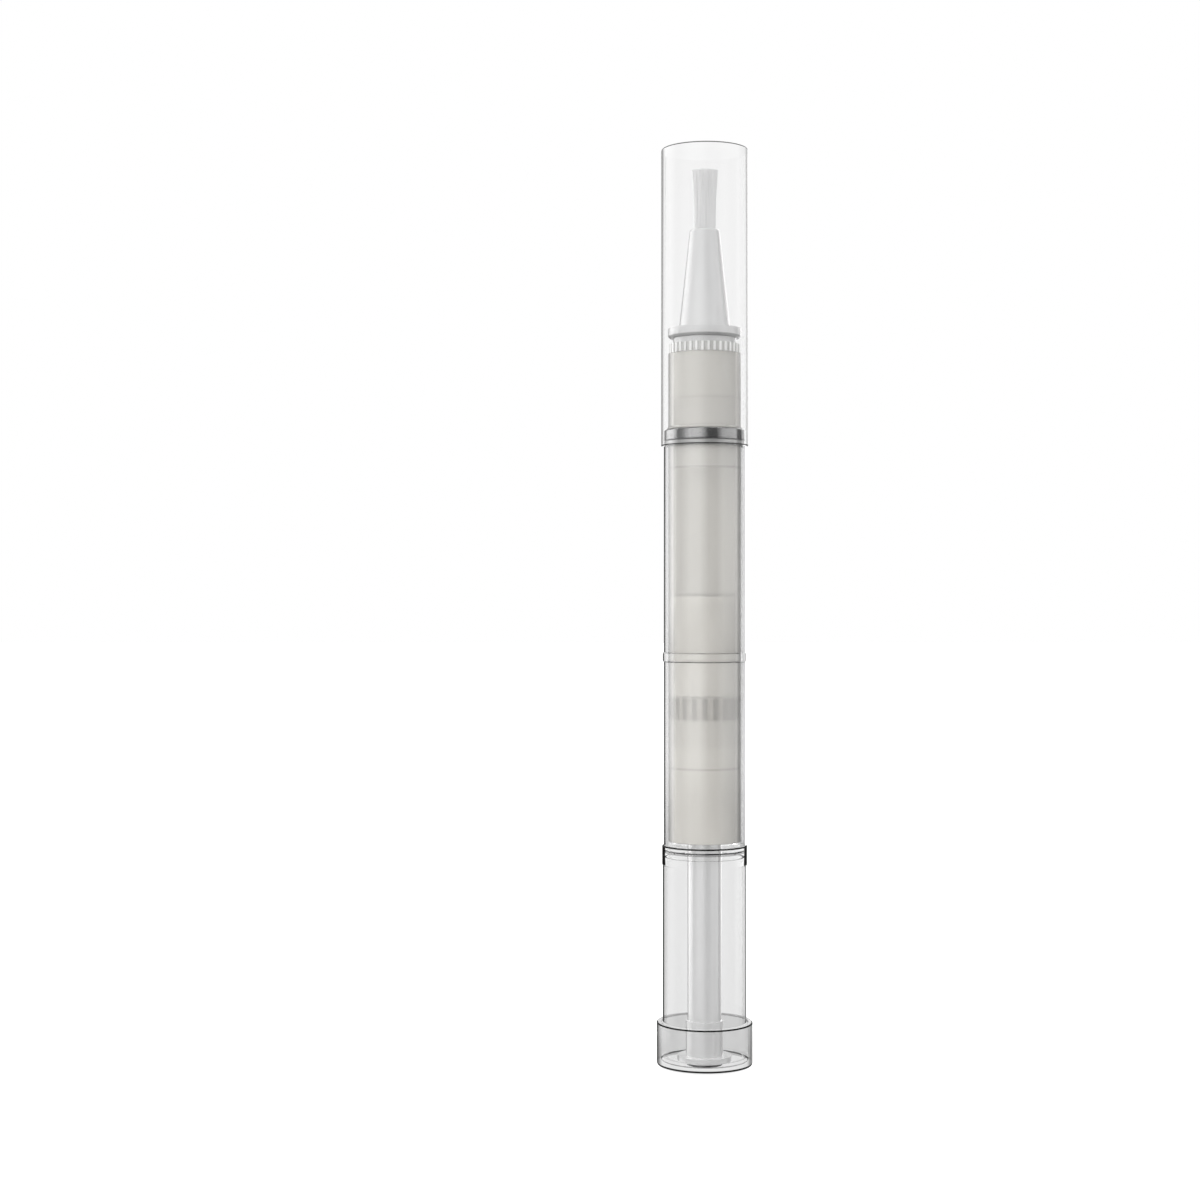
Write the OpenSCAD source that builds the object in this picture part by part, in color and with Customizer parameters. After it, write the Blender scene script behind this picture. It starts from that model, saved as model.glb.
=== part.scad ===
// Twist-up nail oil pen, standing on its knob. The origin is the centre of the knob's underside, with +Z
// along the pen towards the brush. Turning the knob turns the screw through a fixed nut and lifts the piston.

/* [Knob] */
// Height of the knob
knob_h = 6.6; // [5:0.1:12]
// Wall of the knob
knob_wall = 0.75; // [0.4:0.05:1.5]
// Thickness of the knob's floor
knob_floor = 0.9; // [0.6:0.05:1.5]

/* [Tail tube] */
// Wall of the tail tube's collar round the rear sleeve
socket_wall = 0.45; // [0.35:0.05:0.8]
// Height of that collar
tail_collar_h = 2.85; // [2.3:0.05:5]
// How far the collar stands proud of the tail tube
tail_collar_proud = 0.1; // [0.05:0.01:0.2]
// Wall of the tail tube
tail_wall = 0.7; // [0.4:0.05:1.2]
// Length of the tail tube that shows between the knob and the rear sleeve
tail_exposed_l = 25.9; // [20:0.1:32]

/* [Barrel] */
// Outer diameter of the clear sleeves
sleeve_d = 12; // [9.9:0.1:15]
// Wall of the clear sleeves
sleeve_wall = 0.65; // [0.5:0.05:0.8]
// Length of the rear sleeve that shows
rear_sleeve_l = 26.95; // [22:0.05:33]
// Height of the ring between the two sleeves
joint_ring_h = 1.35; // [0.8:0.05:3]
// How far that ring stands proud of the sleeves
joint_ring_proud = 0.18; // [0.1:0.01:0.4]
// Length of the front sleeve that shows below the cap
front_sleeve_l = 30.25; // [25:0.05:37]
// Height of the collar that the cap slides over
collar_h = 2.45; // [1.8:0.05:4]
// Length of the reservoir's neck above the collar
neck_l = 11.2; // [9:0.1:14]
// Wall of the reservoir
reservoir_wall = 0.6; // [0.4:0.05:0.8]

/* [Cap] */
// Wall of the cap at its rim
cap_rim_wall = 0.5; // [0.4:0.05:1]
// Wall of the cap at its closed end
cap_top_wall = 0.75; // [0.6:0.05:1]
// Thickness of the cap's closed end
cap_end_t = 0.9; // [0.5:0.1:1.5]
// Rise of the domed end
cap_dome_h = 0.4; // [0.2:0.05:1.2]
// Air between the bristles and the cap's closed end
cap_headroom = 1.8; // [0.5:0.1:6]

/* [Applicator] */
// Diameter of the flange under the cone
flange_d = 10.6; // [8.8:0.1:10.9]
// Thickness of the flange
flange_t = 1.45; // [0.8:0.05:2.5]
// Diameter of the cone's foot
cone_foot_d = 7.4; // [6.1:0.1:8.6]
// Height of the cone
cone_h = 14.45; // [12:0.05:18]
// Wall of the cone at its tip
cone_tip_wall = 0.45; // [0.35:0.05:0.7]
// How far the plug reaches below the reservoir's mouth
plug_l = 17; // [12:0.1:20.5]
// Wall of the plug
plug_wall = 0.8; // [0.5:0.05:1.1]
// Wall of the bush that holds the plug in the reservoir's mouth
neck_bush_wall = 0.76; // [0.5:0.02:1]

/* [Brush] */
// Length of bristle that stands out of the cone
tuft_l = 8.9; // [7:0.1:11]
// Diameter of the tuft at its root
tuft_d = 3.2; // [2.6:0.05:3.9]
// Spacing of the bristles at the root
bristle_pitch = 0.144; // [0.14:0.001:0.18]
// Thickness of one bristle
bristle_t = 0.11; // [0.07:0.005:0.13]

/* [Screw and piston] */
// Outer diameter of the screw's thread
screw_d = 3.4; // [2.9:0.05:4]
// Depth of the thread
thread_depth = 0.4; // [0.3:0.01:0.5]
// Rise of the thread in one turn
lead = 3; // [2.5:0.1:4]
// Width across the screw's two flats
screw_flats = 2.4; // [2:0.05:2.8]
// Length of the piston
piston_l = 15; // [10:0.1:18]
// Height of each sealing lip of the piston
lip_h = 2.1; // [1.2:0.1:3]

/* [Drive] */
// Wall of the drive tube
drive_wall = 0.65; // [0.5:0.05:0.8]
// Diameter of the disc at the drive tube's foot
drive_disc_d = 7.8; // [6.5:0.1:9.5]
// Length of the bush that the drive tube turns in
bush_l = 10.95; // [8:0.05:13]
// Height of the ratchet ring
ratchet_h = 3; // [2.4:0.1:4]
// Number of ratchet teeth, which is the number of clicks in a turn
ratchet_teeth = 18; // [12:1:24]
// Height of the nut's plain body
nut_body_h = 4.05; // [3.3:0.05:6]
// Height of the nut's ribbed rim
nut_rim_h = 3.15; // [2:0.05:4]

/* [Hidden] */
$fn = 96;

// Clearances, the overrun of every cut, and the small bevel on moulded edges
overrun = 0.5;
press_gap = 0.02;
running_gap = 0.05;
loose_gap = 0.1;
end_gap = 0.2;
edge = 0.15;

// Levels of the body, from the knob's underside up
tail_float = 0.6; // air between the knob's floor and the tail tube
tail_z = knob_floor + tail_float;
tail_top = knob_h + tail_exposed_l;
ledge_t = 0.55; // the rear sleeve's inner ledge, which carries the reservoir
reservoir_z = tail_top + ledge_t;
rear_top = tail_top + rear_sleeve_l;
joint_top = rear_top + joint_ring_h;
shoulder_z = joint_top + front_sleeve_l; // where the cap's rim comes to rest
collar_top = shoulder_z + collar_h;
mouth_z = collar_top + neck_l;

// Sleeves and reservoir
sleeve_r = sleeve_d / 2;
sleeve_bore_r = sleeve_r - sleeve_wall;
reservoir_r = sleeve_bore_r - loose_gap;
bore_r = reservoir_r - reservoir_wall;
bead_proud = 0.2; // snap bead that keeps the sleeves from sliding off the neck
bead_h = 0.4;
ring_r = bore_r - press_gap; // what is pressed into the reservoir

// Collar and cap
collar_inset = 0.175;
collar_r = sleeve_r - collar_inset;
shoulder_edge = 0.05;
collar_ring_wall = 0.2;
collar_ring_bore_r = collar_r - collar_ring_wall;
collar_seat_r = collar_ring_bore_r - press_gap; // of the front sleeve, under the ring
groove_w = 0.18;
groove_depth = 0.1;
groove_z = shoulder_z + collar_h / 3;
cap_bore_r = collar_r + running_gap;
cap_r = cap_bore_r + cap_rim_wall;
cap_top_bore_r = cap_r - cap_top_wall;
cap_seat_l = 1.5 * collar_h; // straight stretch of the cap's bore

// Spigot of the rear sleeve, which snaps into the tail tube's socket
spigot_inset = 0.22;
spigot_r = sleeve_r - spigot_inset;
spigot_wall = 0.75;
spigot_l = 1.8;
snap_proud = 0.12;
snap_h = 0.36;
snap_z = tail_top - spigot_l / 2;
socket_r = spigot_r + press_gap;
tail_collar_r = socket_r + socket_wall;
tail_r = tail_collar_r - tail_collar_proud;
tail_bore_r = tail_r - tail_wall;

// Knob
knob_gap = 0.15;
knob_bore_r = tail_r + knob_gap;
knob_r = knob_bore_r + knob_wall;
knob_edge = 0.3;

// Screw
screw_r = screw_d / 2;
root_r = screw_r - thread_depth;
flat_y = screw_flats / 2;
flank_share = 0.15; // of the lead
crest_share = 0.27;
thread_share = 2 * flank_share + crest_share;
plain_neck_share = 0.35; // of the lead, left plain under the screw's head
screw_sides = 20;
end_chamfer = 0.15;

// Drive tube
drive_bore_r = screw_r + loose_gap;
drive_r = drive_bore_r + drive_wall;
foot_proud = 0.25;
foot_r = drive_r + foot_proud;
disc_t = 0.75;
disc_top = knob_floor + disc_t;
peg_r = foot_r - loose_gap;
peg_recess = 0.2;
drive_floor_t = 2;
drive_bore_z = disc_top + drive_floor_t;
key_l = 3.4; // stretch of the drive tube's bore that grips the screw's flats

// Bearing bush, drive tube's head, click pawl and ratchet ring
bush_wall = 0.65;
bush_top_t = 1.4;
ledge_lip = 0.5;
ledge_bore_r = ring_r - bush_wall - ledge_lip;
bearing_top = reservoir_z + bush_l;
head_proud = 0.6;
head_t = 0.75;
head_z = bearing_top + running_gap;
ratchet_top = bearing_top + ratchet_h;
drive_top = ratchet_top - loose_gap;
drive_flat_inset = 0.3;
drive_flat_y = drive_r - drive_flat_inset;
ratchet_wall = 0.26;
tooth_h = 0.32;
tooth_flank_share = 0.82; // of the tooth spacing
tooth_valley_r = ring_r - ratchet_wall;
tooth_crest_r = tooth_valley_r - tooth_h;
pawl_z = head_z + head_t;
pawl_h = drive_top - pawl_z;
pawl_ring_wall = 0.5;
pawl_ring_r = drive_r + pawl_ring_wall;
arm_t = 0.3;
arm_inset = 0.6;
arm_r = tooth_crest_r - arm_inset;
arm_angle = 105;
pawl_tip_w = 0.45;

// Nut
nut_z = ratchet_top;
nut_rim_z = nut_z + nut_body_h;
nut_top = nut_rim_z + nut_rim_h;
nut_ribs = 18;
nut_rib_depth = 0.35;
nut_body_gap = 0.4;
nut_body_r = bore_r - nut_body_gap;
nut_bore_r = screw_r + 2 * loose_gap;
lug_share = 0.3; // of the lead
lug_w = 1.2;
lug_r = root_r + loose_gap;

// Ribs round a disc: two shares of their spacing for each flank
rib_shares = [0.1, 0.2, 0.55, 0.65];

// Piston, between the nut and the end of the plug
piston_z = nut_top + 1.5 * end_gap;
piston_top = piston_z + piston_l;
piston_waist_gap = 0.5;
piston_waist_r = bore_r - piston_waist_gap;
piston_crown_t = 2.2;
plug_end = mouth_z - plug_l;
socket_entry_l = 2.4;
entry_r = screw_r + 2.5 * loose_gap;
snap_grip = 0.4;
screw_head_r = entry_r + snap_grip;
screw_head_h = 2.6;

// Levels of the screw
screw_head_z = piston_z + socket_entry_l + running_gap;
screw_foot_gap = 1.5;
screw_z = drive_bore_z + screw_foot_gap;
screw_turns = floor((screw_head_z - screw_z) / lead - thread_share - plain_neck_share);
thread_z = screw_z + 2 * end_chamfer;
thread_top = thread_z + (screw_turns + thread_share) * lead + 2 * end_chamfer;

// Neck bush and applicator
rib_band_h = 1.35;
rib_band_inset = 0.08;
rib_band_r = reservoir_r - rib_band_inset;
neck_ribs = 36;
neck_rib_depth = 0.22;
bush_depth = 7; // how far the neck bush reaches into the reservoir
bush_top = mouth_z + rib_band_h;
plug_r = ring_r - neck_bush_wall - press_gap;
plug_bore_r = plug_r - plug_wall;
flange_r = flange_d / 2;
seam_h = 0.9; // the narrow throat under the flange
seam_inset = 0.75;
seam_r = flange_r - seam_inset;
flange_z = bush_top + seam_h;
cone_z = flange_z + flange_t;
tip_z = cone_z + cone_h;
cone_foot_r = cone_foot_d / 2;

// Ferrule, feed tube and bristles
tuft_r = tuft_d / 2;
tip_bore_r = tuft_r + loose_gap;
cone_tip_r = tip_bore_r + cone_tip_wall;
ferrule_wall = 0.18;
ferrule_bore_r = tuft_r + press_gap;
ferrule_r = ferrule_bore_r + ferrule_wall;
seat_r = ferrule_r + press_gap;
seat_share = 0.3; // of the cone's height, down to the shoulder that the ferrule is pushed up against
seat_top = tip_z - seat_share * cone_h;
ferrule_l = 4;
ferrule_z = seat_top - ferrule_l;
ferrule_floor = 1.6;
root_t = 1; // slice of melted bristle roots
root_z = ferrule_z + ferrule_floor;
root_top = root_z + root_t;
feed_r = 0.4;
feed_bore_r = 0.22;
feed_below = 5;
feed_above = 7;
hole_cells = ceil((feed_r + press_gap) / bristle_pitch); // half width of the gap for the feed tube
tuft_top = tip_z + tuft_l;
bend_share = 0.25; // of the bristles' free length, above which they fan out
bend_z = tip_z + bend_share * tuft_l;
fan_shares = [1.17, 0.74]; // spread of the tips along X and Y
bristle_tip_share = 0.7;
bristle_sway = 0.012;
bristle_trim = 0.1; // how unevenly the tips are cut
bristle_seed = 7;
cap_side_top = tuft_top + cap_headroom + cap_end_t;

// Colours
clear_white = [0.93, 0.94, 0.95, 0.35];
milky = [0.81, 0.79, 0.76];
white_plastic = [0.9, 0.9, 0.91];
silver = [0.66, 0.66, 0.67];

function polar(r, a) = [r * cos(a), r * sin(a)];

// A round bar between two levels
module bar(r, z0, z1) {
    translate([0, 0, z0]) cylinder(r = r, h = z1 - z0);
}

// A round bar with two flat sides, between two levels
module flatted_bar(r, y, z0, z1) {
    intersection() {
        bar(r, z0, z1);
        translate([-r, -y, z0]) cube([2 * r, 2 * y, z1 - z0]);
    }
}

// A solid of revolution from (radius, level) points
module turned(points) {
    rotate_extrude() polygon(points);
}

// A ring with a V-shaped outer edge, for a snap bead or its groove
module snap_ring(r, z) {
    turned([[0, z - snap_h / 2], [r, z - snap_h / 2], [r + snap_proud, z], [r, z + snap_h / 2],
        [0, z + snap_h / 2]]);
}

// A disc with evenly spaced square ribs round its edge
module ribbed_disc(crest_r, valley_r, count, z0, z1) {
    step = 360 / count;
    translate([0, 0, z0]) linear_extrude(z1 - z0) polygon([for (i = [0 : count - 1], k = [0 : 3])
        polar(k == 1 || k == 2 ? crest_r : valley_r, (i + rib_shares[k]) * step)]);
}

// The cap: a drafted cup with a low domed end, open downwards
module cap() {
    bore_end = cap_side_top - cap_end_t;
    dome_r = (cap_r * cap_r + cap_dome_h * cap_dome_h) / (2 * cap_dome_h);
    dome_a = asin((cap_r - edge) / dome_r);
    dome_z = cap_side_top + cap_dome_h - dome_r;
    steps = 12;
    color(clear_white) difference() {
        turned(concat(
            [[0, shoulder_z], [cap_r - shoulder_edge, shoulder_z], [cap_r, shoulder_z + shoulder_edge],
                [cap_r, cap_side_top - edge]],
            [for (i = [0 : steps]) let(a = dome_a * (1 - i / steps))
                [dome_r * sin(a), dome_z + dome_r * cos(a)]]));
        bar(cap_bore_r, shoulder_z - overrun, shoulder_z + cap_seat_l);
        translate([0, 0, shoulder_z + cap_seat_l])
            cylinder(r1 = cap_bore_r, r2 = cap_top_bore_r, h = bore_end - shoulder_z - cap_seat_l);
    }
}

// The corners of a square of half width w about (x, y)
function square_ring(x, y, w, z) = [[x - w, y - w, z], [x + w, y - w, z], [x + w, y + w, z],
    [x - w, y + w, z]];

// The bristles: a grid of square strands that stand on one slice of melted roots
module bristle_tuft() {
    n = ceil(tuft_r / bristle_pitch);
    function far_side(i) = abs(i + 0.5) + 0.5;
    function kept(i, j) = norm([far_side(i), far_side(j)]) * bristle_pitch < tuft_r
        && max(far_side(i), far_side(j)) > hole_cells;
    cells = [for (i = [-n : n - 1], j = [-n : n - 1]) if (kept(i, j)) [i, j]];
    drift = rands(-1, 1, len(cells) * 3, bristle_seed);
    w = bristle_t / 2;
    cell_w = bristle_pitch / 2;
    // Twenty points a bristle: slice bottom, slice top, root, bend and tip
    points = [for (c = [0 : len(cells) - 1]) let(
            x = (cells[c][0] + 0.5) * bristle_pitch, y = (cells[c][1] + 0.5) * bristle_pitch,
            tip_x = x * fan_shares[0] + drift[3 * c] * bristle_sway,
            tip_y = y * fan_shares[1] + drift[3 * c + 1] * bristle_sway / 2,
            top = tuft_top - abs(drift[3 * c + 2]) * bristle_trim)
        for (ring = [square_ring(x, y, cell_w, root_z), square_ring(x, y, cell_w, root_top),
                square_ring(x, y, w, root_top), square_ring(x, y, w, bend_z),
                square_ring(tip_x, tip_y, w * bristle_tip_share, top)])
            for (p = ring) p];
    sides = [[0, -1], [1, 0], [0, 1], [-1, 0]];
    function wall(o, s, t, low, high) = [o + low + s, o + high + s, o + high + t, o + low + t];
    faces = [for (c = [0 : len(cells) - 1]) let(o = 20 * c) for (f = concat(
        [[o, o + 1, o + 2, o + 3], [o + 19, o + 18, o + 17, o + 16]],
        [for (s = [0 : 3]) let(t = (s + 1) % 4) for (q = concat(
            [wall(o, s, t, 4, 8), wall(o, s, t, 8, 12), wall(o, s, t, 12, 16)],
            kept(cells[c][0] + sides[s][0], cells[c][1] + sides[s][1]) ? [] : [wall(o, s, t, 0, 4)])) q])) f];
    color(white_plastic) polyhedron(points = points,
        faces = [for (f = faces, k = [1, 2]) [f[0], f[k], f[k + 1]]]);
}

// The ferrule: a small cup that grips the melted roots
module tuft_ferrule() {
    color(white_plastic) difference() {
        bar(ferrule_r, ferrule_z, seat_top);
        bar(ferrule_bore_r, root_z, seat_top + overrun);
        bar(feed_r + press_gap, ferrule_z - overrun, root_top);
    }
}

// The feed tube: a capillary from the plug's bore into the middle of the bristles
module feed_tube() {
    color(white_plastic) difference() {
        bar(feed_r, ferrule_z - feed_below, root_z + feed_above);
        bar(feed_bore_r, ferrule_z - feed_below - overrun, root_z + feed_above + overrun);
    }
}

// The applicator: cone, flange and a long hollow plug, moulded in one
module applicator() {
    color(white_plastic) difference() {
        turned([[0, plug_end], [plug_r - edge, plug_end], [plug_r, plug_end + edge], [plug_r, bush_top],
            [seam_r, bush_top], [seam_r, flange_z], [flange_r - edge, flange_z], [flange_r, flange_z + edge],
            [flange_r, cone_z - edge], [flange_r - edge, cone_z], [cone_foot_r, cone_z],
            [cone_tip_r, tip_z - edge], [cone_tip_r - edge, tip_z], [0, tip_z]]);
        bar(plug_bore_r, plug_end - overrun, flange_z);
        translate([0, 0, flange_z]) cylinder(r1 = plug_bore_r, r2 = seat_r, h = ferrule_z - flange_z);
        bar(seat_r, ferrule_z, seat_top);
        bar(tip_bore_r, seat_top - overrun, tip_z + overrun);
    }
}

// The neck bush: pressed into the reservoir's mouth, with a ribbed band that shows above it
module neck_bush() {
    color(white_plastic) difference() {
        union() {
            bar(ring_r, mouth_z - bush_depth, mouth_z + edge);
            ribbed_disc(rib_band_r, rib_band_r - neck_rib_depth, neck_ribs, mouth_z, bush_top);
        }
        bar(plug_r + press_gap, mouth_z - bush_depth - overrun, bush_top + overrun);
    }
}

// The reservoir: the milky inner tube, with a snap bead above the sleeves
module reservoir() {
    color(milky) difference() {
        turned([[0, reservoir_z], [reservoir_r, reservoir_z], [reservoir_r, collar_top],
            [reservoir_r + bead_proud, collar_top + bead_h / 4],
            [reservoir_r + bead_proud, collar_top + bead_h / 2], [reservoir_r, collar_top + bead_h],
            [reservoir_r, mouth_z - edge], [reservoir_r - edge, mouth_z], [0, mouth_z]]);
        bar(bore_r, reservoir_z - overrun, mouth_z + overrun);
    }
}

// The front sleeve: clear shell, stepped in at its top for the collar ring
module front_sleeve() {
    color(clear_white) difference() {
        turned([[0, joint_top], [sleeve_r, joint_top], [sleeve_r, shoulder_z - shoulder_edge],
            [sleeve_r - shoulder_edge, shoulder_z], [collar_seat_r, shoulder_z],
            [collar_seat_r, collar_top], [0, collar_top]]);
        bar(sleeve_bore_r, joint_top - overrun, collar_top + overrun);
    }
}

// The collar ring: silvered ring with a groove, which the cap slides over
module collar_ring() {
    color(silver) difference() {
        turned([[0, shoulder_z], [collar_r, shoulder_z],
            [collar_r, groove_z - groove_w / 2], [collar_r - groove_depth, groove_z - groove_w / 2],
            [collar_r - groove_depth, groove_z + groove_w / 2], [collar_r, groove_z + groove_w / 2],
            [collar_r, collar_top - edge], [collar_r - edge, collar_top], [0, collar_top]]);
        bar(collar_ring_bore_r, shoulder_z - overrun, collar_top + overrun);
    }
}

// The ring that the two sleeves meet at
module joint_ring() {
    proud_r = sleeve_r + joint_ring_proud;
    color(clear_white) difference() {
        turned([[0, rear_top], [proud_r - edge, rear_top], [proud_r, rear_top + edge],
            [proud_r, joint_top - edge], [proud_r - edge, joint_top], [0, joint_top]]);
        bar(sleeve_bore_r, rear_top - overrun, joint_top + overrun);
    }
}

// The rear sleeve: clear shell, a ledge that carries the reservoir, and a spigot for the tail tube
module rear_sleeve() {
    spigot_z = tail_top - spigot_l;
    color(clear_white) difference() {
        union() {
            bar(spigot_r, spigot_z, reservoir_z);
            snap_ring(spigot_r, snap_z);
            bar(sleeve_r, tail_top, rear_top);
        }
        bar(sleeve_bore_r, reservoir_z, rear_top + overrun);
        bar(ledge_bore_r, tail_top - overrun, reservoir_z + overrun);
        bar(spigot_r - spigot_wall, spigot_z - overrun, tail_top);
    }
}

// The tail tube: clear housing between the barrel and the knob
module tail_tube() {
    collar_z = tail_top - tail_collar_h;
    color(clear_white) difference() {
        turned([[0, tail_z], [tail_r - edge, tail_z], [tail_r, tail_z + edge], [tail_r, collar_z - edge],
            [tail_collar_r, collar_z], [tail_collar_r, tail_top - edge / 2],
            [tail_collar_r - edge / 2, tail_top], [0, tail_top]]);
        bar(tail_bore_r, tail_z - overrun, tail_top);
        bar(socket_r, tail_top - spigot_l, tail_top + overrun);
        snap_ring(socket_r, snap_z);
    }
}

// The knob: a clear cup that the tail tube stands in, with a hole for the drive tube's peg
module knob() {
    color(clear_white) difference() {
        turned([[0, 0], [knob_r - knob_edge, 0], [knob_r, knob_edge], [knob_r, knob_h - edge],
            [knob_r - edge, knob_h], [0, knob_h]]);
        bar(knob_bore_r, knob_floor, knob_h + overrun);
        bar(peg_r + press_gap, -overrun, knob_floor + overrun);
    }
}

// The drive tube: fixed in the knob, it turns the screw by its flats
module drive_tube() {
    color(white_plastic) difference() {
        union() {
            bar(peg_r, peg_recess, disc_top);
            bar(drive_disc_d / 2, knob_floor, disc_top);
            bar(foot_r, knob_floor, knob_h + edge);
            bar(drive_r, knob_floor, pawl_z);
            bar(drive_r + head_proud, head_z, pawl_z);
            flatted_bar(drive_r, drive_flat_y, head_z, drive_top);
        }
        bar(drive_bore_r, drive_bore_z, drive_top - key_l);
        flatted_bar(drive_bore_r, flat_y + loose_gap, drive_top - key_l - overrun, drive_top + overrun);
    }
}

// The click pawl: a keyed ring with two springy arms that ride the ratchet's teeth
module click_pawl() {
    color(white_plastic) {
        difference() {
            bar(pawl_ring_r, pawl_z, drive_top);
            flatted_bar(drive_r + press_gap, drive_flat_y + press_gap, pawl_z - overrun, drive_top + overrun);
        }
        for (turn = [0, 180]) translate([0, 0, pawl_z]) rotate(turn) {
            rotate_extrude(angle = arm_angle) translate([arm_r, 0]) square([arm_t, pawl_h]);
            translate([pawl_ring_r - arm_t / 2, 0, 0]) cube([arm_r + arm_t - pawl_ring_r, arm_t, pawl_h]);
            rotate(arm_angle) translate([arm_r + arm_t / 2, -pawl_tip_w, 0])
                cube([tooth_crest_r - loose_gap - arm_r - arm_t / 2, pawl_tip_w, pawl_h]);
        }
    }
}

// The ratchet ring: saw teeth that face inwards
module ratchet_ring() {
    step = 360 / ratchet_teeth;
    color(white_plastic) difference() {
        bar(ring_r, bearing_top, ratchet_top);
        translate([0, 0, bearing_top - overrun]) linear_extrude(ratchet_h + 2 * overrun)
            polygon([for (i = [0 : ratchet_teeth - 1], flank = [0, 1])
                polar(tooth_crest_r + flank * tooth_h, (i + flank * tooth_flank_share) * step)]);
    }
}

// The bearing bush: a cup on the rear sleeve's ledge, whose top carries the drive tube's head
module bearing_bush() {
    color(white_plastic) difference() {
        bar(ring_r, reservoir_z, bearing_top);
        bar(ring_r - bush_wall, reservoir_z - overrun, bearing_top - bush_top_t);
        bar(drive_r + running_gap, reservoir_z, bearing_top + overrun);
    }
}

// Level of the middle of the thread's groove nearest to z, on the side at that angle
function groove_level(z, angle) = let(first = thread_z + (1 + thread_share) * lead / 2 + lead * angle / 360)
    first + round((z - first) / lead) * lead;

// The nut: held still in the reservoir by its ribs, it guides the screw with two lugs
module thread_nut() {
    lug_t = lug_share * lead;
    color(white_plastic) {
        difference() {
            union() {
                bar(nut_body_r, nut_z, nut_top);
                ribbed_disc(ring_r, ring_r - nut_rib_depth, nut_ribs, nut_rim_z, nut_top);
            }
            bar(nut_bore_r, nut_z - overrun, nut_top + overrun);
        }
        for (angle = [0, 180])
            translate([0, 0, groove_level((nut_z + nut_top) / 2, angle)]) rotate(angle)
                translate([lug_r, -lug_w / 2, -lug_t / 2]) cube([nut_body_r - lug_r, lug_w, lug_t]);
    }
}

// The screw: a right-hand thread with two flats along it, and a head that the piston snaps over
module spindle() {
    n = screw_sides;
    rows = screw_turns * n;
    levels = [0, flank_share, flank_share + crest_share, thread_share] * lead;
    radii = [root_r, screw_r, screw_r, root_r];
    end_r = min(root_r, flat_y) - end_chamfer;
    function flatten(r, a) = min(r, flat_y / max(abs(sin(a)), flat_y / r));
    thread = [for (j = [0 : rows], p = [0 : 3]) let(a = 360 * j / n)
        concat(polar(flatten(radii[p], a), a), thread_z + lead * j / n + levels[p])];
    bottom = [for (j = [0 : n - 1]) concat(polar(end_r, 360 * j / n), screw_z)];
    top = [for (j = [0 : n - 1]) concat(polar(end_r, 360 * j / n), thread_top)];
    b = len(thread);
    t = b + n;
    last = rows - n;
    quads = concat(
        [for (j = [0 : rows - 1], p = [0 : 2]) [4 * j + p, 4 * j + p + 1, 4 * j + p + 5, 4 * j + p + 4]],
        [for (j = [0 : last - 1]) [4 * j + 3, 4 * (j + n), 4 * (j + n) + 4, 4 * j + 7]],
        [for (j = [0 : n - 1]) [b + j, 4 * j, 4 * j + 4, b + (j + 1) % n]],
        [for (j = [0 : n - 1]) [4 * (last + j) + 3, t + j, t + (j + 1) % n, 4 * (last + j) + 7]]);
    color(white_plastic) union() {
        polyhedron(points = concat(thread, bottom, top), faces = concat(
            [for (q = quads) [q[0], q[1], q[2]]], [for (q = quads) [q[0], q[2], q[3]]],
            [[b, 4 * n, 3, 2, 1, 0]],
            [[t, 4 * last + 3, 4 * rows, 4 * rows + 1, 4 * rows + 2, 4 * rows + 3]],
            [[for (j = [0 : n - 1]) b + j]], [[for (j = [n - 1 : -1 : 0]) t + j]]));
        bar(end_r - end_chamfer, thread_top - end_chamfer, screw_head_z + screw_head_h / 2);
        bar(screw_head_r, screw_head_z, screw_head_z + screw_head_h);
    }
}

// The piston: two sealing lips, a waist between them and a socket for the screw's head
module piston() {
    lower_lip = piston_z + lip_h;
    upper_lip = piston_top - lip_h;
    color(white_plastic) difference() {
        turned([[0, piston_z], [ring_r, piston_z], [ring_r, lower_lip - piston_waist_gap],
            [piston_waist_r, lower_lip], [piston_waist_r, upper_lip], [ring_r, upper_lip + piston_waist_gap],
            [ring_r, piston_top], [0, piston_top]]);
        bar(entry_r, piston_z - overrun, piston_top - piston_crown_t);
        bar(screw_head_r + loose_gap, piston_z + socket_entry_l, screw_head_z + screw_head_h + loose_gap);
    }
}

cap();
bristle_tuft();
tuft_ferrule();
feed_tube();
applicator();
neck_bush();
reservoir();
front_sleeve();
collar_ring();
joint_ring();
rear_sleeve();
tail_tube();
knob();
drive_tube();
click_pawl();
ratchet_ring();
bearing_bush();
thread_nut();
spindle();
piston();
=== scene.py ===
import random
from math import asin, cos, pi, radians, sin, sqrt, tan, tau

import bpy
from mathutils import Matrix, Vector


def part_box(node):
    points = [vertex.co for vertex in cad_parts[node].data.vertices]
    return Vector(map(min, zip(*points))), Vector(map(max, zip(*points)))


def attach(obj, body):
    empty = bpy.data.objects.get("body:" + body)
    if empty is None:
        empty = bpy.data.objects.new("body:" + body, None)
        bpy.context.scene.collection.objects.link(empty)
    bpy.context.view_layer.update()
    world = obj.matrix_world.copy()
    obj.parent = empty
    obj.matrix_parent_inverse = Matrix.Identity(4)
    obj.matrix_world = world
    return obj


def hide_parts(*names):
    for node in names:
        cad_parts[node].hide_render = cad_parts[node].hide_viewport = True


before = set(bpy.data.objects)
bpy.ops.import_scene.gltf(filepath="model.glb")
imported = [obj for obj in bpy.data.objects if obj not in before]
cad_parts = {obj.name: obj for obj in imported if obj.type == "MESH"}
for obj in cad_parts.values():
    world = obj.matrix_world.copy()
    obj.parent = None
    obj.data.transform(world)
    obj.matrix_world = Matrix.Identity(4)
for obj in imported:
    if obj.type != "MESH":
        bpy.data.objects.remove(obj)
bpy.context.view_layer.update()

mm = 0.001
roundSteps = 144  # facets round every turned piece

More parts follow.
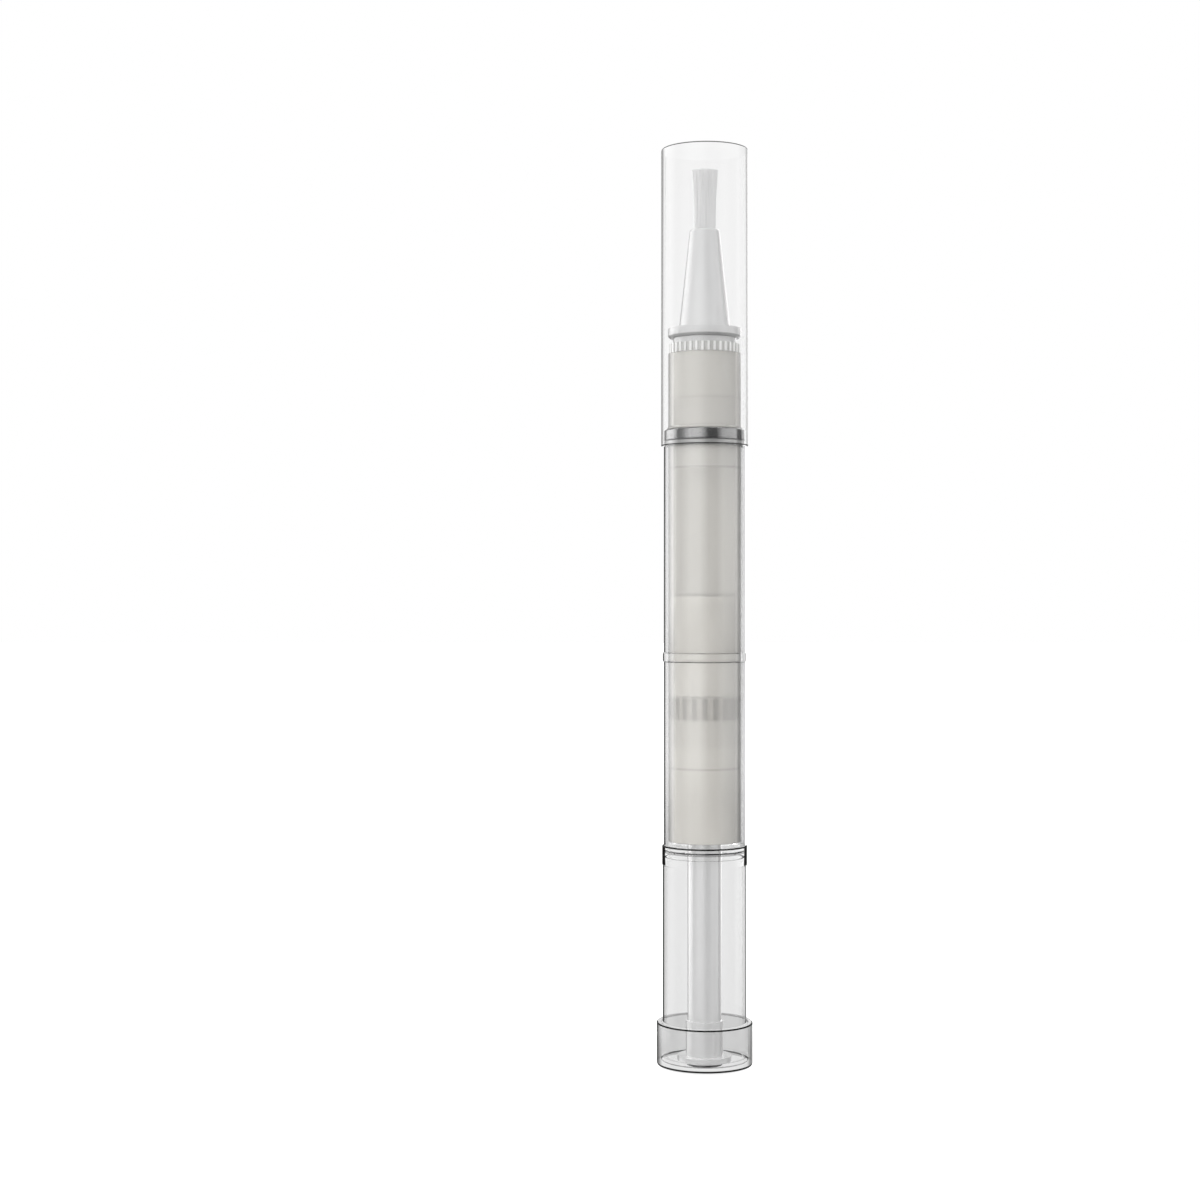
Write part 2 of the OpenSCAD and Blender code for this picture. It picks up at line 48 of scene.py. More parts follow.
# camera: level with the middle of the pen, which stands right of the picture's centre
cameraSetup = {
    "lens": 62.4,  # mm, on a sensor 36 mm wide
    "distance": 306 * mm,
    "height": 68.5 * mm,
    "side": -15.39 * mm,
}
cameraData = bpy.data.cameras.new("camera")
cameraData.lens = cameraSetup["lens"]
cameraData.sensor_width = 36
cameraData.clip_start = 5 * mm
camera = bpy.data.objects.new("camera", cameraData)
camera.location = (cameraSetup["side"], -cameraSetup["distance"], cameraSetup["height"])
camera.rotation_euler = (radians(90), 0, 0)
bpy.context.scene.collection.objects.link(camera)
bpy.context.scene.camera = camera
bpy.context.scene.view_settings.view_transform = "Standard"
print("camera set")


# node helpers

def newGroup(name, inputs, outputs):
    tree = bpy.data.node_groups.new(name, "ShaderNodeTree")
    for label, kind, value in inputs:
        socket = tree.interface.new_socket(name=label, in_out="INPUT", socket_type=kind)
        if value is not None:
            socket.default_value = value
    for label, kind in outputs:
        tree.interface.new_socket(name=label, in_out="OUTPUT", socket_type=kind)
    return tree, tree.nodes.new("NodeGroupInput"), tree.nodes.new("NodeGroupOutput")


def addNode(tree, kind, place=(0, 0), inputs=None, **settings):
    node = tree.nodes.new(kind)
    node.location = place
    for key, value in settings.items():
        setattr(node, key, value)
    for key, value in (inputs or {}).items():
        node.inputs[key].default_value = value
    return node


def linked(tree, pairs):
    for source, target in pairs:
        tree.links.new(source, target)


def newMaterial(name, shader):
    material = bpy.data.materials.new(name)
    material.use_nodes = True
    tree = material.node_tree
    principled = tree.nodes["Principled BSDF"]
    for key, value in shader.items():
        principled.inputs[key].default_value = value
    coords = addNode(tree, "ShaderNodeTexCoord", (-1100, 0))
    return material, tree, principled, coords


def placeGroup(tree, group, coords, place=(-500, 0), **values):
    node = addNode(tree, "ShaderNodeGroup", place)
    node.node_tree = group
    tree.links.new(coords.outputs["Object"], node.inputs["Vector"])
    for key, value in values.items():
        node.inputs[key.replace("_", " ")].default_value = value
    return node


# mouldFinish: the faint haze and unevenness of a moulded or drawn plastic surface, stretched along the pen
mouldFinish, groupIn, groupOut = newGroup(
    "mouldFinish",
    [("Vector", "NodeSocketVector", None), ("Scale", "NodeSocketFloat", 900.0), ("Stretch", "NodeSocketFloat", 0.2),
     ("Smooth", "NodeSocketFloat", 0.03), ("Dull", "NodeSocketFloat", 0.08), ("Relief", "NodeSocketFloat", 0.02)],
    [("Roughness", "NodeSocketFloat"), ("Normal", "NodeSocketVector"), ("Mask", "NodeSocketFloat")],
)
squeeze = addNode(mouldFinish, "ShaderNodeCombineXYZ", (-700, 0), {"X": 1.0, "Y": 1.0})
scaled = addNode(mouldFinish, "ShaderNodeVectorMath", (-500, 0), operation="MULTIPLY")
haze = addNode(mouldFinish, "ShaderNodeTexNoise", (-300, 0), {"Detail": 3.0, "Roughness": 0.55})
level = addNode(mouldFinish, "ShaderNodeMapRange", (-100, 0), {"From Min": 0.35, "From Max": 0.65})
bump = addNode(mouldFinish, "ShaderNodeBump", (-100, -250), {"Distance": 0.02 * mm})
linked(mouldFinish, [
    (groupIn.outputs["Stretch"], squeeze.inputs["Z"]), (groupIn.outputs["Vector"], scaled.inputs[0]),
    (squeeze.outputs[0], scaled.inputs[1]), (scaled.outputs[0], haze.inputs["Vector"]),
    (groupIn.outputs["Scale"], haze.inputs["Scale"]), (haze.outputs["Fac"], level.inputs["Value"]),
    (groupIn.outputs["Smooth"], level.inputs["To Min"]), (groupIn.outputs["Dull"], level.inputs["To Max"]),
    (haze.outputs["Fac"], bump.inputs["Height"]), (groupIn.outputs["Relief"], bump.inputs["Strength"]),
    (level.outputs[0], groupOut.inputs["Roughness"]), (bump.outputs[0], groupOut.inputs["Normal"]),
    (haze.outputs["Fac"], groupOut.inputs["Mask"]),
])


# ribMask: 0 at the bottom of a ring of ribs and 1 on their crests, told by how far a point is from the pen's axis
ribMask, groupIn, groupOut = newGroup(
    "ribMask",
    [("Vector", "NodeSocketVector", None), ("Valley", "NodeSocketFloat", 1.0), ("Crest", "NodeSocketFloat", 2.0)],
    [("Mask", "NodeSocketFloat")],
)
level = addNode(ribMask, "ShaderNodeVectorMath", (-500, 0), {1: (1.0, 1.0, 0.0)}, operation="MULTIPLY")
reach = addNode(ribMask, "ShaderNodeVectorMath", (-300, 0), operation="LENGTH")
share = addNode(ribMask, "ShaderNodeMapRange", (-100, 0))
linked(ribMask, [
    (groupIn.outputs["Vector"], level.inputs[0]), (level.outputs[0], reach.inputs[0]),
    (reach.outputs["Value"], share.inputs["Value"]), (groupIn.outputs["Valley"], share.inputs["From Min"]),
    (groupIn.outputs["Crest"], share.inputs["From Max"]), (share.outputs[0], groupOut.inputs["Mask"]),
])


def newRamp(tree, place, stops):
    ramp = addNode(tree, "ShaderNodeValToRGB", place)
    while len(ramp.color_ramp.elements) < len(stops):
        ramp.color_ramp.elements.new(0.5)
    for element, (position, level) in zip(ramp.color_ramp.elements, stops):
        element.position = position
        element.color = (level, level, level, 1)
    return ramp


def multiplied(tree, principled, factor, place):
    shaded = addNode(tree, "ShaderNodeMix", place, {"Factor": 1.0}, data_type="RGBA", blend_type="MULTIPLY")
    tree.links.new(principled.inputs["Base Color"].links[0].from_socket, shaded.inputs["A"])
    tree.links.new(factor, shaded.inputs["B"])
    tree.links.new(shaded.outputs["Result"], principled.inputs["Base Color"])


def lampsPass(tree, principled, share):  # the lamps shine through, and this share of them is left
    path = addNode(tree, "ShaderNodeLightPath", (-200, 500))
    thru = addNode(tree, "ShaderNodeBsdfTransparent", (0, -300), {"Color": (*share, 1)})
    mixed = addNode(tree, "ShaderNodeMixShader", (350, 100))
    linked(tree, [
        (path.outputs["Is Shadow Ray"], mixed.inputs[0]), (principled.outputs[0], mixed.inputs[1]),
        (thru.outputs[0], mixed.inputs[2]), (mixed.outputs[0], tree.nodes["Material Output"].inputs["Surface"]),
    ])


# clearPlastic: see-through plastic. Its gloss is a coat, so that the thin walls bend little of what is behind them.
# Each stop is a facing value and the share of light that passes the whole tube there, so that a wall darkens where it
# is seen at a slant; this is painted shade, standing in for the dark edges that bent light gives thick walls. Where
# far is given, the near face takes all of that, and a face that is seen from inside the plastic passes the share far
def clearPlastic(name, stops, coat=1.0, bend=1.02, far=None):
    material, tree, principled, coords = newMaterial(
        name, {"Transmission Weight": 1.0, "IOR": bend, "Coat Weight": coat, "Coat IOR": 1.5, "Coat Roughness": 0.02})
    grain = placeGroup(tree, mouldFinish, coords, Scale=500.0, Smooth=0.0, Dull=0.02, Relief=0.0)
    facing = addNode(tree, "ShaderNodeLayerWeight", (-700, 300), {"Blend": 0.5})
    if far:
        stops = [(at, min(1, share ** 2 / far)) for at, share in stops]
    ramp = newRamp(tree, (-450, 300), stops)
    tint = ramp.outputs[0]
    if far:
        side = addNode(tree, "ShaderNodeNewGeometry", (-450, 600))
        sided = addNode(tree, "ShaderNodeMix", (-200, 300), {"B": (far, far, far, 1)}, data_type="RGBA")
        tree.links.new(side.outputs["Backfacing"], sided.inputs["Factor"])
        tree.links.new(tint, sided.inputs["A"])
        tint = sided.outputs["Result"]
    linked(tree, [
        (facing.outputs["Facing"], ramp.inputs[0]), (tint, principled.inputs["Base Color"]),
        (grain.outputs["Roughness"], principled.inputs["Roughness"]),
        (grain.outputs["Normal"], principled.inputs["Normal"]),
    ])
    lampsPass(tree, principled, (0.985, 0.985, 0.985))
    return material


# mouldedPlastic: opaque plastic, with its colour a little uneven from the flow in the mould; belts are bands of
# painted shade, given as heights in mm and the share of the colour that is left there
def mouldedPlastic(name, colour, lighter, finish, shader, shadeBelts=None):
    material, tree, principled, coords = newMaterial(name, shader)
    grain = placeGroup(tree, mouldFinish, coords, **finish)
    ramp = addNode(tree, "ShaderNodeValToRGB", (-450, 300))
    for element, position, shade in zip(ramp.color_ramp.elements, (0.3, 0.7), (colour, lighter)):
        element.position = position
        element.color = (*shade, 1)
    linked(tree, [
        (grain.outputs["Mask"], ramp.inputs[0]), (ramp.outputs[0], principled.inputs["Base Color"]),
        (grain.outputs["Roughness"], principled.inputs["Roughness"]),
        (grain.outputs["Normal"], principled.inputs["Normal"]),
    ])
    if shadeBelts:
        low, high = shadeBelts[0][0], shadeBelts[-1][0]
        split = addNode(tree, "ShaderNodeSeparateXYZ", (-900, -600))
        height = addNode(tree, "ShaderNodeMapRange", (-700, -600), {"From Min": low * mm, "From Max": high * mm})
        banded = newRamp(tree, (-450, -600), [((z - low) / (high - low), level) for z, level in shadeBelts])
        tree.links.new(coords.outputs["Object"], split.inputs[0])
        tree.links.new(split.outputs["Z"], height.inputs["Value"])
        tree.links.new(height.outputs[0], banded.inputs[0])
        multiplied(tree, principled, banded.outputs[0], (-200, 300))
    return material


# ribbedPlastic: moulded plastic with a ring of ribs, whose valleys are painted darker as shade; what is below the
# height low is plain
def ribbedPlastic(name, plain, valley, crest, reach, low, finish):
    material, tree, principled, coords = newMaterial(name, {})
    grain = placeGroup(tree, mouldFinish, coords, **finish)
    ribs = placeGroup(tree, ribMask, coords, (-700, 300), Valley=reach[0] * mm, Crest=reach[1] * mm)
    split = addNode(tree, "ShaderNodeSeparateXYZ", (-700, 600))
    above = addNode(tree, "ShaderNodeMath", (-500, 600), {1: low * mm}, operation="GREATER_THAN")
    ribColour = addNode(tree, "ShaderNodeMix", (-450, 300), {"A": (*valley, 1), "B": (*crest, 1)}, data_type="RGBA")
    colour = addNode(tree, "ShaderNodeMix", (-200, 300), {"A": (*plain, 1)}, data_type="RGBA")
    linked(tree, [
        (coords.outputs["Object"], split.inputs[0]), (split.outputs["Z"], above.inputs[0]),
        (ribs.outputs["Mask"], ribColour.inputs["Factor"]), (above.outputs[0], colour.inputs["Factor"]),
        (ribColour.outputs["Result"], colour.inputs["B"]),
        (colour.outputs["Result"], principled.inputs["Base Color"]),
        (grain.outputs["Roughness"], principled.inputs["Roughness"]),
        (grain.outputs["Normal"], principled.inputs["Normal"]),
    ])
    return material


# milkyPlastic: translucent plastic that shows what lies against it inside. By how much it faces the eye, stops paint
# shade on it and density closes it; lines are thin darker lines of painted shade, at heights in mm, and bore is its
# alpha seen from inside the tube and the share of its colour that is left there, as painted shade on the far wall
def milkyPlastic(name, colour, lighter, finish, shader, shadow, stops=None, density=None, shadeBelts=None, shadeLines=None,
                 bore=None):
    material = mouldedPlastic(name, colour, lighter, finish, shader, shadeBelts)
    tree = material.node_tree
    principled = tree.nodes["Principled BSDF"]
    facing = addNode(tree, "ShaderNodeLayerWeight", (-700, 500), {"Blend": 0.5})
    if stops:
        slant = newRamp(tree, (-450, 600), stops)
        tree.links.new(facing.outputs["Facing"], slant.inputs[0])
        multiplied(tree, principled, slant.outputs[0], (-200, 300))
    if density:
        closed = newRamp(tree, (-450, 900), density)
        tree.links.new(facing.outputs["Facing"], closed.inputs[0])
        tree.links.new(closed.outputs[0], principled.inputs["Alpha"])
    if shadeLines:
        split = addNode(tree, "ShaderNodeSeparateXYZ", (-900, -900))
        tree.links.new(tree.nodes["Texture Coordinate"].outputs["Object"], split.inputs[0])
        marked = None
        for z in shadeLines["heights"]:
            near = addNode(tree, "ShaderNodeMath", (-450, -900), {1: z * mm, 2: shadeLines["width"] / 2 * mm},
                           operation="COMPARE")
            tree.links.new(split.outputs["Z"], near.inputs[0])
            if marked:
                both = addNode(tree, "ShaderNodeMath", (-300, -900), operation="MAXIMUM")
                tree.links.new(marked.outputs[0], both.inputs[0])
                tree.links.new(near.outputs[0], both.inputs[1])
                near = both
            marked = near
        faded = addNode(tree, "ShaderNodeMapRange", (-200, -900), {"To Min": 1.0, "To Max": 1 - shadeLines["depth"]})
        tree.links.new(marked.outputs[0], faded.inputs["Value"])
        multiplied(tree, principled, faded.outputs[0], (0, 300))
    if bore:
        side = addNode(tree, "ShaderNodeNewGeometry", (-450, -400))
        closed = addNode(tree, "ShaderNodeMapRange", (-200, -400), {"To Min": bore[0], "To Max": shader["Alpha"]})
        shade = addNode(tree, "ShaderNodeMapRange", (-200, -650), {"To Min": bore[1], "To Max": 1.0})
        tree.links.new(side.outputs["Backfacing"], closed.inputs["Value"])
        tree.links.new(side.outputs["Backfacing"], shade.inputs["Value"])
        tree.links.new(closed.outputs[0], principled.inputs["Alpha"])
        multiplied(tree, principled, shade.outputs[0], (0, 300))
    lampsPass(tree, principled, shadow)
    return material


# clear walls, each with painted shade where it is seen at a slant
clearCap = clearPlastic(
    "clearCap", [(0.0, 0.895), (0.5, 0.88), (0.62, 0.84), (0.7, 0.66), (0.75, 0.4), (1.0, 0.4)], coat=0.3, far=0.93)
clearBarrel = clearPlastic(
    "clearBarrel", [(0.0, 0.96), (0.34, 0.9), (0.5, 0.7), (0.6, 0.47), (0.7, 0.43), (0.76, 0.05), (1.0, 0.05)],
    far=0.95)
clearTail = clearPlastic(
    "clearTail", [(0.0, 0.8), (0.5, 0.79), (0.58, 0.75), (0.64, 0.62), (0.74, 0.56), (0.77, 0.015), (1.0, 0.015)],
    coat=0.5, far=0.9)
clearCollar = clearPlastic(
    "clearCollar", [(0.0, 0.81), (0.5, 0.85), (0.6, 0.93), (0.618, 0.6), (0.63, 0.004), (1.0, 0.004)],
    coat=0.0, far=0.95)
clearKnob = clearPlastic(
    "clearKnob", [(0.0, 0.61), (0.5, 0.58), (0.56, 0.55), (0.62, 0.4), (0.68, 0.22), (0.78, 0.14), (1.0, 0.14)],
    coat=0.5, far=0.55)

# bores, level faces and rounded corners of the clear pieces: the shares straight on and at a slant, the coat and far;
# softEdge, capEdge, rimEdge, darkEdge, knobEdge and floorEdge paint grey to near black lines of shade on corners
softEdge = clearPlastic("softEdge", [(0.0, 0.55), (1.0, 0.45)], coat=0.5, far=0.95)
clearBore, clearEnd, clearRim, capEdge, rimEdge, darkEdge, knobEdge, floorEdge = [
    clearPlastic(name, [(0.0, straight), (1.0, slanted)], coat, bend=1.003, far=far)
    for name, straight, slanted, coat, far in [
        ("clearBore", 0.99, 0.99, 0.0, None), ("clearEnd", 0.95, 0.93, 0.0, None),
        ("clearRim", 0.97, 0.95, 1.0, None), ("capEdge", 0.2, 0.14, 0.0, 0.99),
        ("rimEdge", 0.14, 0.1, 0.0, 0.9), ("darkEdge", 0.05, 0.04, 0.0, 0.8),
        ("knobEdge", 0.02, 0.02, 0.0, 0.4), ("floorEdge", 0.12, 0.1, 0.0, 0.3)]]

# reservoir: painted shade at its slanting edges, and bands of painted shade and light along it: a darker belt where
# the nut's rim lies against it inside, a lighter neck, and faint lines at the ends of what is fixed inside it
tubeLook = {
    "haze": {"Scale": 350.0, "Smooth": 0.3, "Dull": 0.4},
    "shadow": (0.91, 0.903, 0.885),
    "stops": [(0.0, 1.0), (0.42, 1.0), (0.55, 0.82), (0.66, 0.6), (0.745, 0.38), (1.0, 0.38)],
    "density": [(0.0, 0.45), (0.45, 0.45), (0.53, 0.95), (1.0, 1.0)],
    "shadeBelts": [(33.0, 0.91), (46.7, 0.91), (47.3, 0.855), (50.8, 0.855), (51.2, 0.665), (54.0, 0.665), (54.5, 0.88),
              (59.0, 0.91), (87.5, 0.91), (88.3, 0.89), (93.4, 0.89), (93.8, 0.955), (97.7, 0.955), (97.9, 0.89),
              (98.1, 0.9), (98.35, 0.98), (104.7, 0.98)],
    "shadeLines": {"heights": (43.9, 87.85), "width": 0.34, "depth": 0.2},
}
milkyTube = milkyPlastic(
    "milkyTube", (0.778, 0.762, 0.727), (0.811, 0.795, 0.76), tubeLook["haze"], {"Alpha": 0.45}, tubeLook["shadow"],
    tubeLook["stops"], tubeLook["density"], tubeLook["shadeBelts"], tubeLook["shadeLines"])
# the bore is a darker copy of the tube's plastic: painted shade for the inside of the tube
shadedMilkyBore = milkyPlastic(
    "shadedMilkyBore", (0.715, 0.7, 0.668), (0.745, 0.73, 0.698), tubeLook["haze"], {"Alpha": 0.45}, tubeLook["shadow"],
    bore=(0.93, 0.72))

# brush and cone; the cone's belt is the shaded chamfer under its flange
frostedWhite = mouldedPlastic(
    "frostedWhite", (0.7, 0.7, 0.7), (0.735, 0.735, 0.735),
    {"Scale": 700.0, "Smooth": 0.1, "Dull": 0.16, "Relief": 0.03},
    {"Specular IOR Level": 0.35, "Subsurface Weight": 0.15, "Subsurface Radius": (1.0, 1.0, 1.0),
     "Subsurface Scale": 0.6 * mm},
    [(106.5, 1.0), (106.9, 1.0), (106.92, 0.5), (107.22, 0.56), (107.38, 1.0), (108.0, 1.0)])
# the neck bush's rib valleys are painted darker as shade
ribbedWhite = ribbedPlastic(
    "ribbedWhite", (0.9, 0.9, 0.88), (0.68, 0.68, 0.665), (0.97, 0.97, 0.96), (4.98, 5.13), 0.0,
    {"Scale": 900.0, "Smooth": 0.1, "Dull": 0.2})
bristleNylon = milkyPlastic(
    "bristleNylon", (0.85, 0.85, 0.85), (0.9, 0.9, 0.9),
    {"Scale": 4000.0, "Stretch": 0.02, "Smooth": 0.25, "Dull": 0.4}, {}, (0.93, 0.93, 0.93))

# mechanism: painted shade makes the drive tube's peg dark and the rest of the tube a little dimmer than its foot
# disc, and paints a dark line at the piston's top edge; the nut's rib valleys are painted near black as shade
mechanismLook = ((0.93, 0.915, 0.89), (0.95, 0.935, 0.91), {"Scale": 800.0, "Smooth": 0.3, "Dull": 0.45}, {})
driveWhite = mouldedPlastic(
    "driveWhite", (0.965, 0.965, 0.965), (1.0, 1.0, 1.0), {"Scale": 600.0, "Smooth": 0.06, "Dull": 0.1},
    {"Coat Weight": 1.0, "Coat Roughness": 0.05},
    [(0.0, 0.1), (0.87, 0.1), (0.89, 1.0), (1.66, 1.0), (1.7, 0.86), (3.0, 0.86)])
mechanismWhite = mouldedPlastic("mechanismWhite", *mechanismLook)
pistonWhite = mouldedPlastic(
    "pistonWhite", *mechanismLook, [(54.0, 1.0), (68.95, 1.0), (69.05, 0.02), (69.6, 0.02)])
nutBeige = ribbedPlastic(
    "nutBeige", (0.88, 0.865, 0.84), (0.95, 0.93, 0.9), (0.02, 0.019, 0.018), (4.32, 4.58), 51.0,
    {"Scale": 800.0, "Smooth": 0.35, "Dull": 0.5})

# collar ring
silvered = mouldedPlastic("silvered", (0.035, 0.035, 0.035), (0.045, 0.045, 0.045),
                          {"Scale": 900.0, "Smooth": 0.03, "Dull": 0.08}, {"IOR": 2.4})
paleSilver = mouldedPlastic("paleSilver", (0.3, 0.3, 0.295), (0.34, 0.34, 0.334),
                            {"Scale": 900.0, "Smooth": 0.05, "Dull": 0.1}, {"IOR": 1.9})
ringGroove = mouldedPlastic("ringGroove", (0.09, 0.09, 0.09), (0.12, 0.12, 0.12),
                            {"Scale": 900.0, "Smooth": 0.3, "Dull": 0.5}, {})
print("materials built")


# modelling helpers

def span(node):
    low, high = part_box(node)
    return (high[0] - low[0]) / 2 / mm, low[2] / mm, high[2] / mm


def finished(piece, material, sharp=40):
    bpy.ops.object.select_all(action="DESELECT")
    piece.select_set(True)
    bpy.context.view_layer.objects.active = piece
    bpy.ops.object.shade_smooth_by_angle(angle=radians(sharp))
    piece.data.materials.clear()
    piece.data.materials.append(material)
    return piece


def applied(piece, kind, **settings):
    modifier = piece.modifiers.new(kind.lower(), kind)
    for key, value in settings.items():
        setattr(modifier, key, value)
    bpy.ops.object.select_all(action="DESELECT")
    piece.select_set(True)
    bpy.context.view_layer.objects.active = piece
    bpy.ops.object.modifier_apply(modifier=modifier.name)


# a clear shell: its walls, bores, level faces and rounded corners each get their own material, and the corner
# materials mostly paint dark lines of shade. A face is level where the Z of its normal is above one value, upright
# where it is below the other, and a corner in between
glazing = {"level": 0.95, "upright": 0.12}
glazedFaces = ["wall", "bore", "level", "upperOuter", "lowerOuter", "upperInner", "lowerInner"]


def facesOut(face):
    return face.normal.x * face.center.x + face.normal.y * face.center.y > 0


def glazed(piece, wall, upper, lower, upperInner=None, level=clearRim):
    finished(piece, wall)
    for material in (clearBore, level, upper, lower, upperInner or level, level):
        piece.data.materials.append(material)
    for face in piece.data.polygons:
        if abs(face.normal.z) > glazing["level"]:
            kind = "level"
        elif abs(face.normal.z) > glazing["upright"]:
            kind = ("upper" if face.normal.z > 0 else "lower") + ("Outer" if facesOut(face) else "Inner")
        else:
            kind = "wall" if facesOut(face) else "bore"
        face.material_index = glazedFaces.index(kind)
    return piece


def refinished(piece, kind, low, high, material):
    piece.data.materials.append(material)
    for face in piece.data.polygons:
        if face.material_index == glazedFaces.index(kind) and low * mm < face.center.z < high * mm:
            face.material_index = len(piece.data.materials) - 1


# a turned piece: its half outline, in mm from the axis and the floor, is spun about the pen's axis
def turned(name, outline, rounding, steps=roundSteps):
    bpy.ops.object.select_all(action="DESELECT")
    bpy.ops.mesh.primitive_circle_add(vertices=len(outline), radius=mm)
    piece = bpy.context.object
    piece.name = piece.data.name = name
    for vertex, (r, z) in zip(piece.data.vertices, outline):
        vertex.co = (r * mm, 0, z * mm)
    bpy.ops.object.mode_set(mode="EDIT")
    bpy.ops.mesh.select_all(action="SELECT")
    bpy.ops.mesh.spin(steps=steps, angle=tau, center=(0, 0, 0), axis=(0, 0, 1))
    bpy.ops.mesh.select_all(action="SELECT")
    bpy.ops.mesh.remove_doubles(threshold=0.001 * mm)
    bpy.ops.mesh.dissolve_degenerate(threshold=0.001 * mm)
    bpy.ops.mesh.normals_make_consistent(inside=False)
    bpy.ops.object.mode_set(mode="OBJECT")
    if rounding:
        applied(piece, "BEVEL", width=rounding * mm, segments=3, limit_method="ANGLE", angle_limit=radians(30))
    return piece


def arc(radius, centreZ, start, end, count):
    return [(radius * sin(radians(start + (end - start) * i / count)),
             centreZ + radius * cos(radians(start + (end - start) * i / count))) for i in range(count + 1)]


def dress(piece, body, slot, *nodes):
    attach(piece, body)
    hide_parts(*nodes)


# cap: drafted bore, low dome, and the small gate mark that moulding leaves on its end
capShape = {"rimWall": 0.5, "endWall": 0.75, "endThickness": 0.9, "domeRise": 0.15, "domeSteps": 14, "seat": 3.67,
            "gate": 0.55, "gateFloorShare": 0.7, "gateDepth": 0.06, "rounding": 0.2}
capR, capLow, capHigh = span("cap")
capSide = capHigh - capShape["domeRise"]
domeR = (capR ** 2 + capShape["domeRise"] ** 2) / (2 * capShape["domeRise"])
domeEnd = asin(capR / domeR) * 180 / pi
gateAngle = asin(capShape["gate"] / domeR) * 180 / pi
boreEnd = capSide - capShape["endThickness"]
capOutline = (
    [(0, capHigh - capShape["gateDepth"]),
     (capShape["gate"] * capShape["gateFloorShare"], capHigh - capShape["gateDepth"])]
    + arc(domeR, capHigh - domeR, gateAngle, domeEnd, capShape["domeSteps"])
    + [(capR, capLow), (capR - capShape["rimWall"], capLow), (capR - capShape["rimWall"], capLow + capShape["seat"]),
       (capR - capShape["endWall"], boreEnd), (0, boreEnd)])
cap = glazed(turned("capShell", capOutline, capShape["rounding"]), clearCap, capEdge, rimEdge, level=clearBore)
dress(cap, "cap", "clear_cap", "cap")
print("cap modelled")

# front sleeve: clear tube whose stepped collar carries the cap
sleeveShape = {"wall": 0.65, "collarInset": 0.175, "seatInset": 0.22, "rounding": 0.04}
sleeveR, sleeveLow, sleeveHigh = span("front_sleeve")
collarR = sleeveR - sleeveShape["collarInset"]
seatR = collarR - sleeveShape["seatInset"]
shoulder = capLow
groove = shoulder + (sleeveHigh - shoulder) / 3
sleeveOutline = [
    (sleeveR - sleeveShape["wall"], sleeveLow), (sleeveR, sleeveLow), (sleeveR, shoulder),
    (seatR, shoulder), (seatR, sleeveHigh), (sleeveR - sleeveShape["wall"], sleeveHigh)]
frontSleeve = glazed(turned("frontSleeveShell", sleeveOutline, sleeveShape["rounding"]), clearBarrel, softEdge,
                     softEdge)
dress(frontSleeve, "barrel", "clear_barrel", "front_sleeve")

# collar ring: silvered, with one groove
ringShape = {"wall": 0.2, "grooveW": 0.18, "grooveDepth": 0.1, "bevel": 0.15, "rounding": 0.02}
grooveLow, grooveHigh = groove - ringShape["grooveW"] / 2, groove + ringShape["grooveW"] / 2
collarOutline = [
    (collarR - ringShape["wall"], shoulder), (collarR, shoulder), (collarR, grooveLow),
    (collarR - ringShape["grooveDepth"], grooveLow), (collarR - ringShape["grooveDepth"], grooveHigh),
    (collarR, grooveHigh), (collarR, sleeveHigh - ringShape["bevel"]),
    (collarR - ringShape["bevel"], sleeveHigh), (collarR - ringShape["wall"], sleeveHigh)]
collarRing = finished(turned("collarBand", collarOutline, ringShape["rounding"]), silvered)
refinished(collarRing, "wall", shoulder - 1, grooveLow, paleSilver)
refinished(collarRing, "wall", grooveLow - ringShape["rounding"], grooveHigh + ringShape["rounding"], ringGroove)
dress(collarRing, "barrel", "silver_ring", "collar_ring")

# joint ring: the proud band where the two sleeves meet
ringR, ringLow, ringHigh = span("joint_ring")
ringOutline = [(sleeveR - sleeveShape["wall"], ringLow), (ringR, ringLow), (ringR, ringHigh),
               (sleeveR - sleeveShape["wall"], ringHigh)]
jointShape = {"rounding": 0.14}
jointRing = glazed(turned("jointBand", ringOutline, jointShape["rounding"]), clearBarrel, softEdge, softEdge)
dress(jointRing, "barrel", "clear_barrel", "joint_ring")

# rear sleeve: clear tube with an inner ledge, and a spigot with a snap bead below it
rearShape = {"ledge": 0.55, "ledgeBore": 3.48, "spigotInset": 0.22, "spigotWall": 0.75, "snap": 0.12,
             "snapHeight": 0.36, "rounding": 0.06}
rearR, rearLow, rearHigh = span("rear_sleeve")
tailR, tailLow, tailHigh = span("tail_tube")
spigotR = rearR - rearShape["spigotInset"]
snapZ = (rearLow + tailHigh) / 2
rearOutline = [
    (rearR - sleeveShape["wall"], rearHigh), (rearR, rearHigh), (rearR, tailHigh), (spigotR, tailHigh),
    (spigotR, snapZ + rearShape["snapHeight"] / 2), (spigotR + rearShape["snap"], snapZ),
    (spigotR, snapZ - rearShape["snapHeight"] / 2), (spigotR, rearLow),
    (spigotR - rearShape["spigotWall"], rearLow), (spigotR - rearShape["spigotWall"], tailHigh),
    (rearShape["ledgeBore"], tailHigh), (rearShape["ledgeBore"], tailHigh + rearShape["ledge"]),
    (rearR - sleeveShape["wall"], tailHigh + rearShape["ledge"])]
rearSleeve = glazed(turned("rearSleeveShell", rearOutline, rearShape["rounding"]), clearBarrel, darkEdge, softEdge)
refinished(rearSleeve, "wall", rearLow - 1, tailHigh, clearBore)
dress(rearSleeve, "barrel", "clear_barrel", "rear_sleeve")

